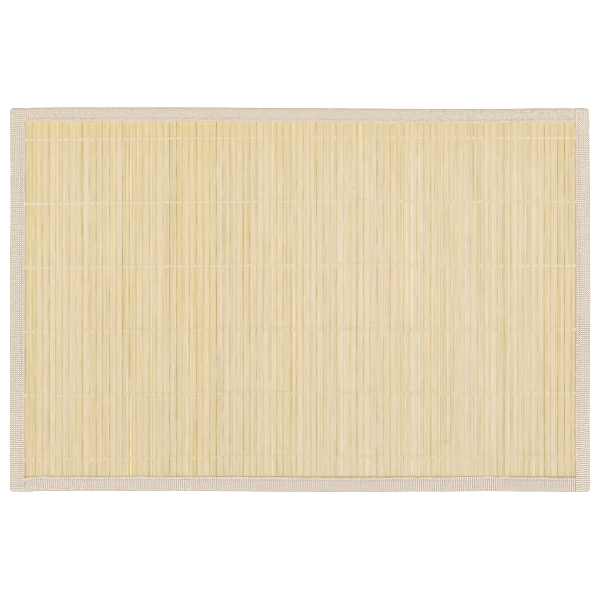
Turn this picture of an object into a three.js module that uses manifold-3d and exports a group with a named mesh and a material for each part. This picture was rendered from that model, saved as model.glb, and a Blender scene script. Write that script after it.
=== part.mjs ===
// Bamboo placemat: split slats held side by side by rows of thread, with a woven tape folded over each edge.
// Millimetres, +Z up. X runs along the mat, Y along the slats, and the mat lies on Z = 0.
// The origin is the middle of the underside.

import * as THREE from "three";
import { mergeVertices } from "three/addons/utils/BufferGeometryUtils.js";
import Module from "manifold-3d";

const wasm = await Module();
wasm.setup();

// The whole mat
const MAT_LENGTH = 450;
const MAT_DEPTH = 298;
const CLEARANCE = 0.3; // between pieces that touch
const CORNER_RADIUS = 3.5; // seen from above
const CORNER_STEPS = 4;

// Slats
const SLAT_COUNT = 85;
const SLAT_PITCH = 5.19;
const SLAT_LENGTH = 293;
const SLAT_THICKNESS = 1.6;
const GROOVE_WIDTH = 0.5; // at its floor
const GROOVE_DEPTH = 0.55;
const EDGE_ROUNDING = 0.5; // width of a slat's rounded edge
const EDGE_DROP = 0.22; // how far that edge falls before the groove's wall

// Binding tape: a woven strip folded over the edge, seen from its end as a U that lies on its side
const TAPE_THICKNESS = 1;
const FOLD_RADIUS = 0.6; // inside of the fold
const ARC_SEGMENTS = 3;
const FRONT_TAPE_WIDTH = 11.9; // from the fold to the edge that shows
const BACK_TAPE_WIDTH = 11.5;
const LEFT_TAPE_WIDTH = 11.5;
const RIGHT_TAPE_WIDTH = 11.1;
const LAP_INSET = 5.2; // from the mat's side to the end of a long tape, under the side tape
const RAMP_LENGTH = 3; // over which a side tape climbs onto the long tape
const RAMP_ROOM = 1.2; // from the top of that ramp to the long tape's edge
const STRAY_ROOM = 0.6; // kept from a side tape's edge, which isn't straight

// Threads
const THREAD_ROWS = 6;
const THREAD_ROW_PITCH = 49.55;
const THREAD_ROWS_OFFSET = 1.1; // of all rows, towards the back
const THREAD_WIDTH = 1.9;
const THREAD_THICKNESS = 0.6;

// Heights
const SLAT_BASE = TAPE_THICKNESS + CLEARANCE;
const SLAT_TOP = SLAT_BASE + SLAT_THICKNESS;
const TAPE_TOP = SLAT_TOP + CLEARANCE + TAPE_THICKNESS;
const LAP_RISE = CLEARANCE + TAPE_THICKNESS;

// How far each tape strays outwards from its straight line, by distance along the edge from its middle.
// Each edge is read from its left end as seen from outside the mat.
const FRONT_STRAY = [
  { at: -220, out: 0.25 },
  { at: -204, out: -0.25 },
  { at: -75, out: -0.35 },
  { at: 0, out: 0.15 },
  { at: 80, out: 0.35 },
  { at: 130, out: -0.2 },
  { at: 168, out: 0.25 },
  { at: 220, out: 0.15 },
];
const BACK_STRAY = [
  { at: -220, out: -0.1 },
  { at: -186, out: -0.2 },
  { at: -149, out: -0.8 },
  { at: -112, out: -0.75 },
  { at: -75, out: -0.35 },
  { at: 0, out: 0 },
  { at: 37, out: 0.4 },
  { at: 75, out: 0.65 },
  { at: 185, out: 0.6 },
  { at: 220, out: -0.2 },
];
const LEFT_STRAY = [
  { at: -149, out: 0 },
  { at: -108, out: -0.15 },
  { at: -70, out: -0.4 },
  { at: -33, out: 0.25 },
  { at: 50, out: 0.05 },
  { at: 103, out: 0.3 },
  { at: 149, out: 0 },
];
const RIGHT_STRAY = [
  { at: -149, out: 0.1 },
  { at: -90, out: -0.1 },
  { at: -16, out: 0.4 },
  { at: 96, out: 0.1 },
  { at: 120, out: -0.1 },
  { at: 149, out: -0.5 },
];

// How far each row of thread bows towards the back, by distance along the mat from its middle.
const THREAD_BOW = [
  { at: -226, out: -0.9 },
  { at: -193, out: -0.66 },
  { at: -158, out: -0.39 },
  { at: -124, out: 0.12 },
  { at: -89, out: 0.47 },
  { at: -54, out: 0.7 },
  { at: -19, out: 0.93 },
  { at: 50, out: 1.05 },
  { at: 120, out: 0.81 },
  { at: 226, out: 0.8 },
];

const bamboo = new THREE.MeshStandardMaterial({ color: 0xe4d2ad, roughness: 0.6, metalness: 0 });
const cloth = new THREE.MeshStandardMaterial({ color: 0xddd0c1, roughness: 0.95, metalness: 0 });
const yarn = new THREE.MeshStandardMaterial({ color: 0xeadfc6, roughness: 0.9, metalness: 0 });

// A closed three.js geometry as a manifold-3d solid.
function toSolid(geometry) {
  const bare = geometry.clone();
  bare.deleteAttribute("normal");
  bare.deleteAttribute("uv");
  const merged = mergeVertices(bare);
  return new wasm.Manifold(
    new wasm.Mesh({
      numProp: 3,
      vertProperties: merged.attributes.position.array,
      triVerts: new Uint32Array(merged.index.array),
    }),
  );
}

// A manifold-3d solid as a three.js geometry with flat faces.
function toGeometry(solid) {
  const mesh = solid.getMesh();
  const indexed = new THREE.BufferGeometry();
  indexed.setAttribute("position", new THREE.BufferAttribute(mesh.vertProperties, 3));
  indexed.setIndex(new THREE.BufferAttribute(mesh.triVerts, 1));
  const geometry = indexed.toNonIndexed();
  geometry.computeVertexNormals();
  return geometry;
}

function namedMesh(name, geometry, material) {
  const mesh = new THREE.Mesh(geometry, material);
  mesh.name = name;
  return mesh;
}

// A shape drawn in X and height, drawn out along Y and centred on it.
function drawnAlongY(shape, length, curveSegments) {
  const geometry = new THREE.ExtrudeGeometry(shape, { depth: length, bevelEnabled: false, curveSegments });
  geometry.rotateX(Math.PI / 2);
  geometry.translate(0, length / 2, 0);
  return geometry;
}

// The end view of the slats: a crowned rib for each, with a groove above and below between two of them.
// The web that is left between the grooves holds them together as the threads do.
function slatOutline() {
  const start = (-SLAT_COUNT * SLAT_PITCH) / 2;
  const above = [];
  const below = [];
  for (let i = 0; i < SLAT_COUNT; i++) {
    const left = start + i * SLAT_PITCH + GROOVE_WIDTH / 2;
    const right = start + (i + 1) * SLAT_PITCH - GROOVE_WIDTH / 2;
    above.push(
      [left, SLAT_TOP - GROOVE_DEPTH],
      [left, SLAT_TOP - EDGE_DROP],
      [left + EDGE_ROUNDING, SLAT_TOP],
      [right - EDGE_ROUNDING, SLAT_TOP],
      [right, SLAT_TOP - EDGE_DROP],
      [right, SLAT_TOP - GROOVE_DEPTH],
    );
    below.push(
      [left, SLAT_BASE + GROOVE_DEPTH],
      [left + EDGE_ROUNDING, SLAT_BASE],
      [right - EDGE_ROUNDING, SLAT_BASE],
      [right, SLAT_BASE + GROOVE_DEPTH],
    );
  }
  return new THREE.Shape([...below, ...above.reverse()].map(([x, z]) => new THREE.Vector2(x, z)));
}

function slatPanel() {
  return namedMesh("slat_panel", drawnAlongY(slatOutline(), SLAT_LENGTH), bamboo);
}

// Reads a table of distances along an edge or row, in straight lines between its places.
function strayAt(rows, at) {
  const next = Math.max(1, rows.findIndex((row) => row.at >= at));
  const [a, b] = [rows[next - 1], rows[next]];
  return THREE.MathUtils.mapLinear(at, a.at, b.at, a.out, b.out);
}

// One row of thread over the slats, from side tape to side tape, bowed as its table says.
function threadRow(index) {
  const left = -MAT_LENGTH / 2 + LEFT_TAPE_WIDTH + STRAY_ROOM;
  const right = MAT_LENGTH / 2 - RIGHT_TAPE_WIDTH - STRAY_ROOM;
  const inside = THREAD_BOW.map((row) => row.at).filter((at) => at > left && at < right);
  const stations = [left, ...inside, right];
  const steps = stations.length - 1;
  const section = new THREE.Shape().absellipse(0, 0, THREAD_WIDTH / 2, THREAD_THICKNESS / 2, 0, 2 * Math.PI);
  const geometry = new THREE.ExtrudeGeometry(section, {
    depth: steps,
    steps,
    bevelEnabled: false,
    curveSegments: ARC_SEGMENTS,
  });
  const position = geometry.attributes.position;
  for (let i = 0; i < position.count; i++) {
    const at = stations[Math.round(position.getZ(i))];
    position.setXYZ(i, at, position.getX(i) + strayAt(THREAD_BOW, at), position.getY(i));
  }
  const mesh = namedMesh(`thread_row_${index + 1}`, geometry, yarn);
  mesh.position.y = THREAD_ROWS_OFFSET + (index - (THREAD_ROWS - 1) / 2) * THREAD_ROW_PITCH;
  mesh.position.z = SLAT_TOP + CLEARANCE + THREAD_THICKNESS / 2;
  return mesh;
}

// The end view of a folded tape: X is the distance in from the fold, Y the height.
function foldOutline(width) {
  const inner = FOLD_RADIUS;
  const outer = FOLD_RADIUS + TAPE_THICKNESS;
  const quarter = Math.PI / 2;
  const outline = new THREE.Shape();
  outline.moveTo(width, TAPE_THICKNESS);
  outline.absarc(outer, outer, inner, -quarter, -2 * quarter, true);
  outline.absarc(outer, TAPE_TOP - outer, inner, 2 * quarter, quarter, true);
  outline.lineTo(width, TAPE_TOP - TAPE_THICKNESS);
  outline.lineTo(width, TAPE_TOP);
  outline.absarc(outer, TAPE_TOP - outer, outer, quarter, 2 * quarter, false);
  outline.absarc(outer, outer, outer, 2 * quarter, 3 * quarter, false);
  outline.lineTo(width, 0);
  return outline;
}

// A tape folded over the front edge of the mat. Each station holds a place along the edge, how far the
// tape strays outwards there, how far a rounded corner takes the fold in, and how high the tape climbs.
function foldedTape(width, edgeDistance, stations) {
  const steps = stations.length - 1;
  const geometry = new THREE.ExtrudeGeometry(foldOutline(width), {
    depth: steps,
    steps,
    bevelEnabled: false,
    curveSegments: ARC_SEGMENTS,
  });
  const position = geometry.attributes.position;
  for (let i = 0; i < position.count; i++) {
    const station = stations[Math.round(position.getZ(i))];
    const inwards = position.getX(i);
    const height = position.getY(i);
    const inset = inwards < width / 2 ? station.inset : 0;
    const climb = height > TAPE_TOP / 2 ? station.climb : 0;
    position.setXYZ(i, station.at, -edgeDistance - station.out + inwards + inset, height + climb);
  }
  return geometry;
}

// The stations of a long tape: one for each row of its table, over the length between its two ends.
function longStations(rows, from, to) {
  const inside = rows.map((row) => row.at).filter((at) => at > from && at < to);
  return [from, ...inside, to].map((at) => ({ at, out: strayAt(rows, at), inset: 0, climb: 0 }));
}

// The stations of a side tape: its two rounded ends, a ramp where it climbs onto each long tape, and its table.
function sideStations(rows, startTapeWidth, endTapeWidth) {
  const half = MAT_DEPTH / 2;
  const corner = [];
  for (let i = 0; i <= CORNER_STEPS; i++) {
    const angle = ((Math.PI / 2) * i) / CORNER_STEPS;
    corner.push({ from: CORNER_RADIUS * (1 - Math.cos(angle)), inset: CORNER_RADIUS * (1 - Math.sin(angle)) });
  }
  const end = (direction, tapeWidth) => [
    ...corner.map(({ from, inset }) => ({ at: direction * (half - from), inset, climb: LAP_RISE })),
    { at: direction * (half - tapeWidth - RAMP_ROOM), inset: 0, climb: LAP_RISE },
    { at: direction * (half - tapeWidth - RAMP_ROOM - RAMP_LENGTH), inset: 0, climb: 0 },
  ];
  const middle = rows.slice(1, -1).map((row) => ({ at: row.at, inset: 0, climb: 0 }));
  return [...end(-1, startTapeWidth), ...middle, ...end(1, endTapeWidth)]
    .map((station) => ({ ...station, out: strayAt(rows, station.at) }))
    .sort((a, b) => a.at - b.at);
}

// A tape along the front or back edge. At each end its under layer stops beside the side tape's,
// and its upper layer and fold run on under the side tape.
function longTape(name, width, rows, startSideWidth, endSideWidth) {
  const half = MAT_LENGTH / 2;
  const reach = half - LAP_INSET;
  const whole = foldedTape(width, MAT_DEPTH / 2, longStations(rows, -reach, reach));
  let solid = toSolid(whole);
  for (const [direction, sideWidth] of [
    [-1, startSideWidth],
    [1, endSideWidth],
  ]) {
    const length = sideWidth + STRAY_ROOM;
    const cut = new THREE.BoxGeometry(length, 3 * width, 2 * SLAT_BASE);
    cut.translate(direction * (half - length / 2), -MAT_DEPTH / 2, 0);
    solid = solid.subtract(toSolid(cut));
  }
  return namedMesh(name, toGeometry(solid), cloth);
}

function sideTape(name, width, rows, startTapeWidth, endTapeWidth) {
  const stations = sideStations(rows, startTapeWidth, endTapeWidth);
  return namedMesh(name, foldedTape(width, MAT_LENGTH / 2, stations), cloth);
}

// Every tape is made along the front edge and then turned to its own edge.
function binding() {
  const front = longTape("tape_front", FRONT_TAPE_WIDTH, FRONT_STRAY, LEFT_TAPE_WIDTH, RIGHT_TAPE_WIDTH);
  const back = longTape("tape_back", BACK_TAPE_WIDTH, BACK_STRAY, RIGHT_TAPE_WIDTH, LEFT_TAPE_WIDTH);
  const left = sideTape("tape_left", LEFT_TAPE_WIDTH, LEFT_STRAY, BACK_TAPE_WIDTH, FRONT_TAPE_WIDTH);
  const right = sideTape("tape_right", RIGHT_TAPE_WIDTH, RIGHT_STRAY, FRONT_TAPE_WIDTH, BACK_TAPE_WIDTH);
  back.rotation.z = Math.PI;
  left.rotation.z = -Math.PI / 2;
  right.rotation.z = Math.PI / 2;
  return new THREE.Group().add(front, back, left, right);
}

const mat = new THREE.Group();
mat.add(slatPanel(), binding());
for (let i = 0; i < THREAD_ROWS; i++) mat.add(threadRow(i));

// The stray edges put the outline a little off centre, so the mat is moved back onto the origin.
const middle = new THREE.Box3().setFromObject(mat, true).getCenter(new THREE.Vector3());
mat.position.set(-middle.x, -middle.y, 0);

export default mat;
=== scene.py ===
"""Dressed bamboo placemat: split slats held by rows of yarn, with a woven tape folded over each edge."""

import logging
import math
import random
from collections.abc import Callable, Iterator
from contextlib import contextmanager
from dataclasses import dataclass, field
from enum import Enum
from typing import NamedTuple

import bmesh
import bpy
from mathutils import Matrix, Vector, noise


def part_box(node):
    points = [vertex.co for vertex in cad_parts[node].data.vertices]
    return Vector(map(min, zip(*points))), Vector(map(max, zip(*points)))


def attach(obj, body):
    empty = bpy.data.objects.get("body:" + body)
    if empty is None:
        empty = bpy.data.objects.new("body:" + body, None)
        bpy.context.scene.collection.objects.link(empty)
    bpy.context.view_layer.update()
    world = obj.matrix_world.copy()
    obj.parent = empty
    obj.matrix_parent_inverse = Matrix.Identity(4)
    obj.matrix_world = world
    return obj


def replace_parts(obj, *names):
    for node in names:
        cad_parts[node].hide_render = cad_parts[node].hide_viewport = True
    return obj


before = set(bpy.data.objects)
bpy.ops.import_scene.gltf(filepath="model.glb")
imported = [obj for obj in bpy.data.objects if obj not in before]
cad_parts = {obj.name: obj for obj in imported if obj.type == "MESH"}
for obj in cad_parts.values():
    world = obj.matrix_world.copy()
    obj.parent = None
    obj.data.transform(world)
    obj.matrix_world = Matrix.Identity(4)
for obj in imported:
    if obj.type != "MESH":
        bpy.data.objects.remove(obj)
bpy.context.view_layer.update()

MM = 0.001
LOG = logging.getLogger("placemat")
Colour = tuple[float, float, float, float]


# Work at the bench


def set_down() -> None:
    """Leave nothing selected, so that the next operator acts on one piece alone."""
    bpy.ops.object.select_all(action="DESELECT")


def take_up(piece: bpy.types.Object) -> None:
    """Select one piece alone and make it the active one.

    Args:
        piece: The piece to work on.
    """
    set_down()
    piece.select_set(True)
    bpy.context.view_layer.objects.active = piece


def just_added(name: str) -> bpy.types.Object:
    """Name the primitive that an operator has just added and put its place into its mesh.

    Args:
        name: The piece's name.

    Returns:
        The piece, at the origin, unturned and unscaled.
    """
    piece = bpy.context.active_object
    piece.name = name
    piece.data.name = name
    take_up(piece)
    bpy.ops.object.transform_apply(location=True, rotation=True, scale=True)
    return piece


@contextmanager
def chosen_edges(piece: bpy.types.Object, choose: Callable[[Vector, Vector], bool]) -> Iterator[None]:
    """Open a piece in edit mode with only some of its edges selected.

    Args:
        piece: The piece to open.
        choose: A test of an edge's middle and its direction.

    Yields:
        Nothing, while the piece is open.
    """
    take_up(piece)
    bpy.context.tool_settings.mesh_select_mode = (False, True, False)
    bpy.ops.object.mode_set(mode="EDIT")
    bpy.ops.mesh.select_all(action="DESELECT")
    opened = bmesh.from_edit_mesh(piece.data)
    for edge in opened.edges:
        start, end = (vertex.co for vertex in edge.verts)
        if choose((start + end) / 2, (end - start).normalized()):
            edge.select_set(True)
    bmesh.update_edit_mesh(piece.data)
    yield
    bpy.ops.object.mode_set(mode="OBJECT")


@contextmanager
def all_faces(piece: bpy.types.Object) -> Iterator[None]:
    """Open a piece in edit mode with every face selected, and close it afterwards."""
    take_up(piece)
    bpy.ops.object.mode_set(mode="EDIT")
    bpy.ops.mesh.select_all(action="SELECT")
    yield
    bpy.ops.object.mode_set(mode="OBJECT")


def apply_modifier(piece: bpy.types.Object, kind: str, **settings: object) -> None:
    """Give a piece a modifier and apply it.

    Args:
        piece: The piece to change.
        kind: The modifier's type.
        **settings: The modifier's own settings.
    """
    take_up(piece)
    modifier = piece.modifiers.new(kind.lower(), kind)
    for name, value in settings.items():
        setattr(modifier, name, value)
    bpy.ops.object.modifier_apply(modifier=modifier.name)


def repeat_along_x(piece: bpy.types.Object, count: int, pitch: float) -> int:
    """Copy a piece's mesh in a row along X.

    Args:
        piece: The piece to copy.
        count: How many there are in the end.
        pitch: The distance from one to the next.

    Returns:
        The number of points in each copy, which follow each other in the mesh.
    """
    points = len(piece.data.vertices)
    apply_modifier(
        piece,
        "ARRAY",
        count=count,
        use_relative_offset=False,
        use_constant_offset=True,
        constant_offset_displace=(pitch, 0, 0),
    )
    return points


def move_points(piece: bpy.types.Object, mover: Callable[[int, Vector], Vector]) -> None:
    """Move every point of a piece.

    Args:
        piece: The piece to shape.
        mover: Gives a point's new place from its number and its old place.
    """
    for vertex in piece.data.vertices:
        vertex.co = mover(vertex.index, vertex.co)
    piece.data.update()


def mark_points(piece: bpy.types.Object, name: str, values: list[float]) -> None:
    """Store one number for each point of a piece, for its finish to read.

    Args:
        piece: The piece to mark.
        name: The attribute's name.
        values: One number for each point, in their order.
    """
    layer = piece.data.attributes.new(name=name, type="FLOAT", domain="POINT")
    layer.data.foreach_set("value", values)


def join_all(pieces: list[bpy.types.Object]) -> bpy.types.Object:
    """Join several pieces into the first of them.

    Args:
        pieces: The pieces to join.

    Returns:
        The first piece, which now holds them all.
    """
    take_up(pieces[0])
    for piece in pieces[1:]:
        piece.select_set(True)
    bpy.ops.object.join()
    return pieces[0]


def dress(piece: bpy.types.Object, finish: bpy.types.Material, smooth_below: float) -> None:
    """Give a piece its finish and shading, and tie it to the frame.

    Args:
        piece: The finished mesh.
        finish: The material it wears.
        smooth_below: The angle in degrees under which faces shade as one.
    """
    piece.data.materials.clear()
    piece.data.materials.append(finish)
    take_up(piece)
    bpy.ops.object.shade_smooth_by_angle(angle=math.radians(smooth_below))
    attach(piece, "root")
    LOG.info("%s: %d faces", piece.name, len(piece.data.polygons))


def ease(value: float, start: float, end: float) -> float:
    """Rise smoothly from 0 at start to 1 at end."""
    share = min(1.0, max(0.0, (value - start) / (end - start)))
    return share * share * (3 - 2 * share)


def read_off(table: tuple[tuple[float, float], ...], place: float) -> float:
    """Read a value off a table of places and values, in a straight line between its rows.

    Args:
        table: Rows of a place and its value, with the places rising.
        place: Where to read.

    Returns:
        The value there, or the nearest row's beyond the table's ends.
    """
    place = min(max(place, table[0][0]), table[-1][0])
    for (start, low), (end, high) in zip(table, table[1:]):
        if place <= end:
            return low + (high - low) * (place - start) / (end - start)
    return table[-1][1]


def wander(*seeds: float) -> float:
    """Give a smooth random number between about -1 and 1 for a place."""
    return noise.noise(Vector((*seeds, 0.5, 0.5)[:3]))


# Finishes


def seen(red: int, green: int, blue: int, light: float = 1.35) -> Colour:
    """Turn a tone as it looks on a screen into the colour a surface has.

    Args:
        red: Screen red, to 255.
        green: Screen green, to 255.
        blue: Screen blue, to 255.
        light: How bright the studio lights a white surface, where 1 is just white.

    Returns:
        The linear colour, with alpha.
    """
    linear = [((c / 255 + 0.055) / 1.055) ** 2.4 / light for c in (red, green, blue)]
    return (*linear, 1.0)


class Grain(NamedTuple):
    """The size of a noise's patches along X, Y and Z, in millimetres, and how many finer layers it has."""

    x: float
    y: float
    z: float
    layers: int = 1


class Sketch:
    """A finish in the making: a node tree that ends in a Principled shader."""

    def __init__(self, name: str) -> None:
        """Start a new material.

        Args:
            name: The material's name.
        """
        self.material = bpy.data.materials.new(name)
        self.material.use_nodes = True
        self.tree = self.material.node_tree
        self.shader = self.tree.nodes["Principled BSDF"]

    def feed(self, socket: bpy.types.NodeSocket, value: object) -> None:
        """Wire a socket to an output, or set it to a plain value.

        Args:
            socket: The input to feed.
            value: An output socket, a number or a colour.
        """
        if isinstance(value, bpy.types.NodeSocket):
            self.tree.links.new(value, socket)
        else:
            socket.default_value = value

    def object_place(self) -> bpy.types.NodeSocket:
        """Give the place on the piece, in metres."""
        return self.tree.nodes.new("ShaderNodeTexCoord").outputs["Object"]

    def cloth_place(self) -> bpy.types.NodeSocket:
        """Give the place on the cloth, in metres along and across it."""
        return self.tree.nodes.new("ShaderNodeUVMap").outputs["UV"]

    def mark(self, name: str) -> bpy.types.NodeSocket:
        """Give a number stored on the piece's points, by its attribute's name."""
        node = self.tree.nodes.new("ShaderNodeAttribute")
        node.attribute_name = name
        return node.outputs["Fac"]

    def mark_size(self, name: str) -> bpy.types.NodeSocket:
        """Give a stored number's size, without its sign."""
        return self.math("ABSOLUTE", self.mark(name))

    def parts(self, vector: object) -> list[bpy.types.NodeSocket]:
        """Split a vector into its three numbers."""
        node = self.tree.nodes.new("ShaderNodeSeparateXYZ")
        self.feed(node.inputs[0], vector)
        return list(node.outputs)

    def vector(self, x: object, y: object, z: object) -> bpy.types.NodeSocket:
        """Join three numbers into a vector."""
        node = self.tree.nodes.new("ShaderNodeCombineXYZ")
        for socket, value in zip(node.inputs, (x, y, z)):
            self.feed(socket, value)
        return node.outputs[0]

    def math(self, operation: str, a: object, b: object = 0.0, clamp: bool = False) -> bpy.types.NodeSocket:
        """Work out one sum.

        Args:
            operation: The Math node's operation.
            a: The first number.
            b: The second number, where the operation has one.
            clamp: Whether the result is kept between 0 and 1.

        Returns:
            The result.
        """
        node = self.tree.nodes.new("ShaderNodeMath")
        node.operation = operation
        node.use_clamp = clamp
        self.feed(node.inputs[0], a)
        self.feed(node.inputs[1], b)
        return node.outputs[0]

    def scaled_sum(self, start: object, *terms: tuple[object, float]) -> bpy.types.NodeSocket:
        """Add several numbers, each times its own weight, to a first one."""
        total = start
        for value, weight in terms:
            total = self.math("ADD", total, self.math("MULTIPLY", value, weight))
        return total

    def between(self, value: object, low: float, high: float) -> bpy.types.NodeSocket:
        """Turn the range from low to high into 0 to 1, with soft ends."""
        node = self.tree.nodes.new("ShaderNodeMapRange")
        node.interpolation_type = "SMOOTHSTEP"
        self.feed(node.inputs["Value"], value)
        node.inputs["From Min"].default_value = low
        node.inputs["From Max"].default_value = high
        return node.outputs[0]

    def grain(self, place: object, patches: Grain) -> bpy.types.NodeSocket:
        """Give noise around 0, drawn out along some axes.

        Args:
            place: Where on the piece.
            patches: The size of its patches and the number of its finer layers.

        Returns:
            The noise, from about -0.5 to 0.5.
        """
        mapping = self.tree.nodes.new("ShaderNodeMapping")
        self.feed(mapping.inputs["Vector"], place)
        mapping.inputs["Scale"].default_value = [1 / (size * MM) for size in patches[:3]]
        texture = self.tree.nodes.new("ShaderNodeTexNoise")
        self.feed(texture.inputs["Vector"], mapping.outputs[0])
        texture.inputs["Scale"].default_value = 1.0
        texture.inputs["Detail"].default_value = patches.layers
        return self.math("SUBTRACT", texture.outputs["Fac"], 0.5)

    def wave(self, distance: object, length: float) -> bpy.types.NodeSocket:
        """Give a cosine of a distance, from -1 to 1."""
        return self.math("COSINE", self.math("MULTIPLY", distance, 2 * math.pi / length))

    def blend(self, share: object, first: object, second: object, how: str = "MIX") -> bpy.types.NodeSocket:
        """Mix two colours.

        Args:
            share: How much of the second there is.
            first: The first colour.
            second: The second colour.
            how: The Mix node's blend type.

        Returns:
            The mixed colour.
        """
        node = self.tree.nodes.new("ShaderNodeMix")
        node.data_type = "RGBA"
        node.blend_type = how
        sockets = {socket.identifier: socket for socket in node.inputs}
        self.feed(sockets["Factor_Float"], share)
        self.feed(sockets["A_Color"], first)
        self.feed(sockets["B_Color"], second)
        return next(socket for socket in node.outputs if socket.identifier == "Result_Color")

    def tint(self, colour: object, towards: Colour, share: object, weight: float) -> bpy.types.NodeSocket:
        """Carry a colour towards another by a share times a weight, kept between 0 and 1."""
        return self.blend(self.math("MULTIPLY", share, weight, clamp=True), colour, towards)

    def brighten(self, colour: object, amount: object) -> bpy.types.NodeSocket:
        """Make a colour lighter or darker by a small share of itself."""
        gain = self.math("ADD", amount, 1.0)
        return self.blend(1.0, colour, self.vector(gain, gain, gain), "MULTIPLY")

    def relief(self, height: object, depth: float) -> None:
        """Raise the surface a little where the height is more.

        Args:
            height: The height, from about 0 to 1.
            depth: How deep a height of 1 is, in metres.
        """
        node = self.tree.nodes.new("ShaderNodeBump")
        node.inputs["Strength"].default_value = 1.0
        node.inputs["Distance"].default_value = depth
        self.feed(node.inputs["Height"], height)
        self.feed(self.shader.inputs["Normal"], node.outputs[0])

    def finish(self, colour: object, roughness: object, gloss: float, nap: float = 0.0) -> bpy.types.Material:
        """Feed the shader and give the finished material.

        Args:
            colour: The surface's colour.
            roughness: Its roughness.
            gloss: Its specular level.
            nap: The weight of its sheen.

        Returns:
            The material.
        """
        self.feed(self.shader.inputs["Base Color"], colour)
        self.feed(self.shader.inputs["Roughness"], roughness)
        self.shader.inputs["Specular IOR Level"].default_value = gloss
        self.shader.inputs["Sheen Weight"].default_value = nap
        return self.material


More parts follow.
